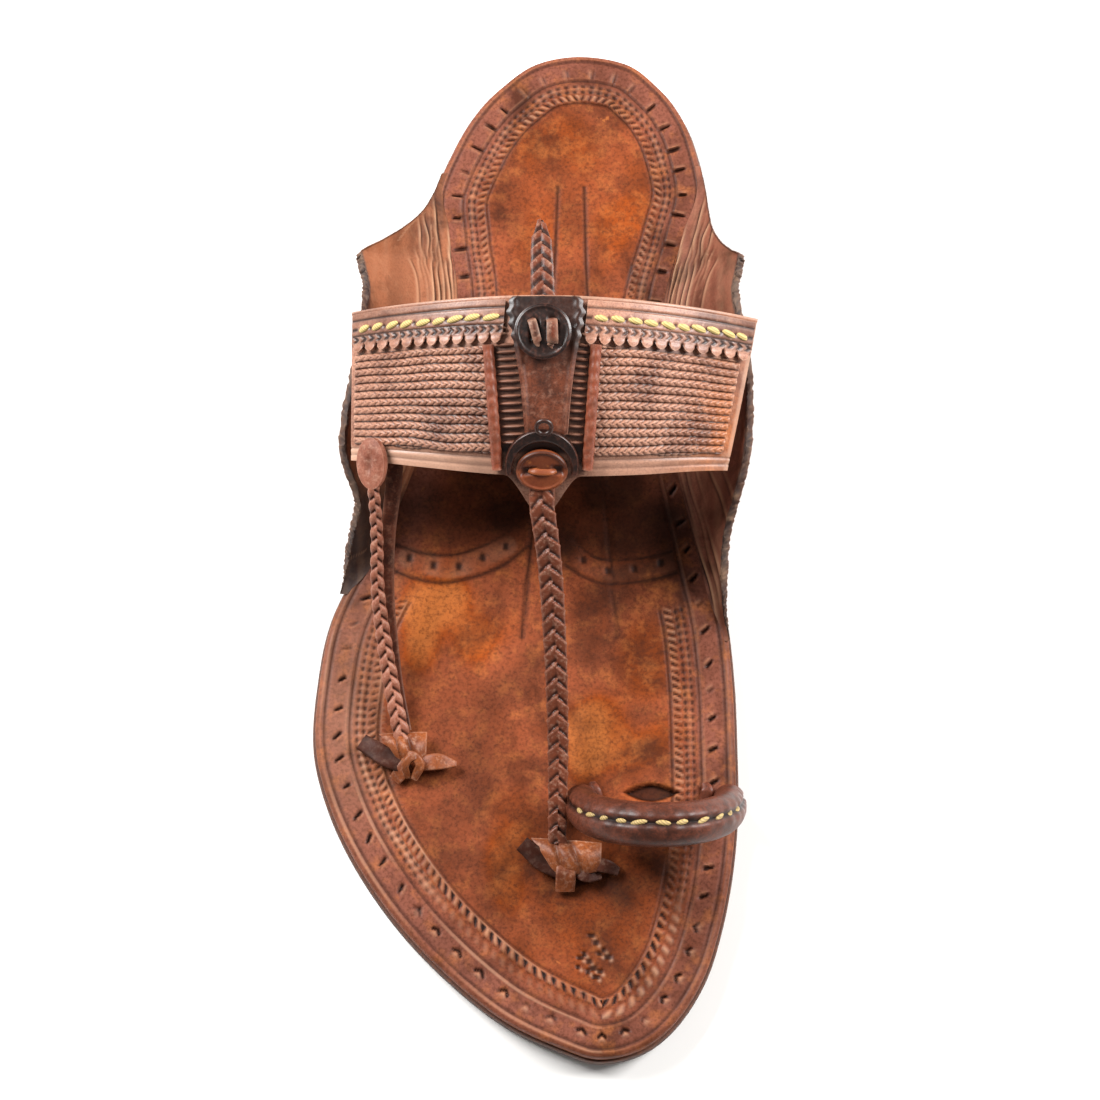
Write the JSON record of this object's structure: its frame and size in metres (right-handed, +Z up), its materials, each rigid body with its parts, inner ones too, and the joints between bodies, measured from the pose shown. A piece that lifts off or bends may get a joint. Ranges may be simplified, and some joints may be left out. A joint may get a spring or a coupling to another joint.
{
  "type": "kolhapuri chappal",
  "caption": "Flat leather sandal with a plaited instep band on side ears, a braided strap to the toe and a ring for the big toe.",
  "frame": {"origin": "under the middle of the sandal's box, on the floor", "axes": "+Z up, +Y toward the heel, -Y toward the toe, +X toward the big-toe side"},
  "size_m": [0.1182, 0.28, 0.0723],
  "materials": {
    "sole_leather": "waxed cut edge",
    "insole_leather": "burnished, tooled",
    "ear_leather": "satin, raw edge",
    "band_leather": "polished",
    "trim_leather": "polished",
    "dark_leather": "polished, dark dyed",
    "plait_leather": "satin",
    "button_leather": "polished"
  },
  "bodies": {
    "root": {"outsole": "sole_leather", "heel_lift": "sole_leather", "insole": "insole_leather", "ear_lateral": "ear_leather", "ear_medial": "ear_leather", "instep_band": "band_leather", "collar_lateral": "trim_leather", "collar_medial": "trim_leather", "piping_lateral": "trim_leather", "piping_medial": "trim_leather", "centre_tab": "trim_leather", "rear_button": "dark_leather", "front_button": "button_leather", "side_button": "button_leather", "crescent": "dark_leather", "ring_loop": "dark_leather", "tail_plait": "plait_leather", "toe_plait": "plait_leather", "toe_knot": "plait_leather", "side_strip": "dark_leather", "side_plait": "plait_leather", "side_knot": "plait_leather", "toe_ring": "trim_leather"}
  },
  "joints": []
}
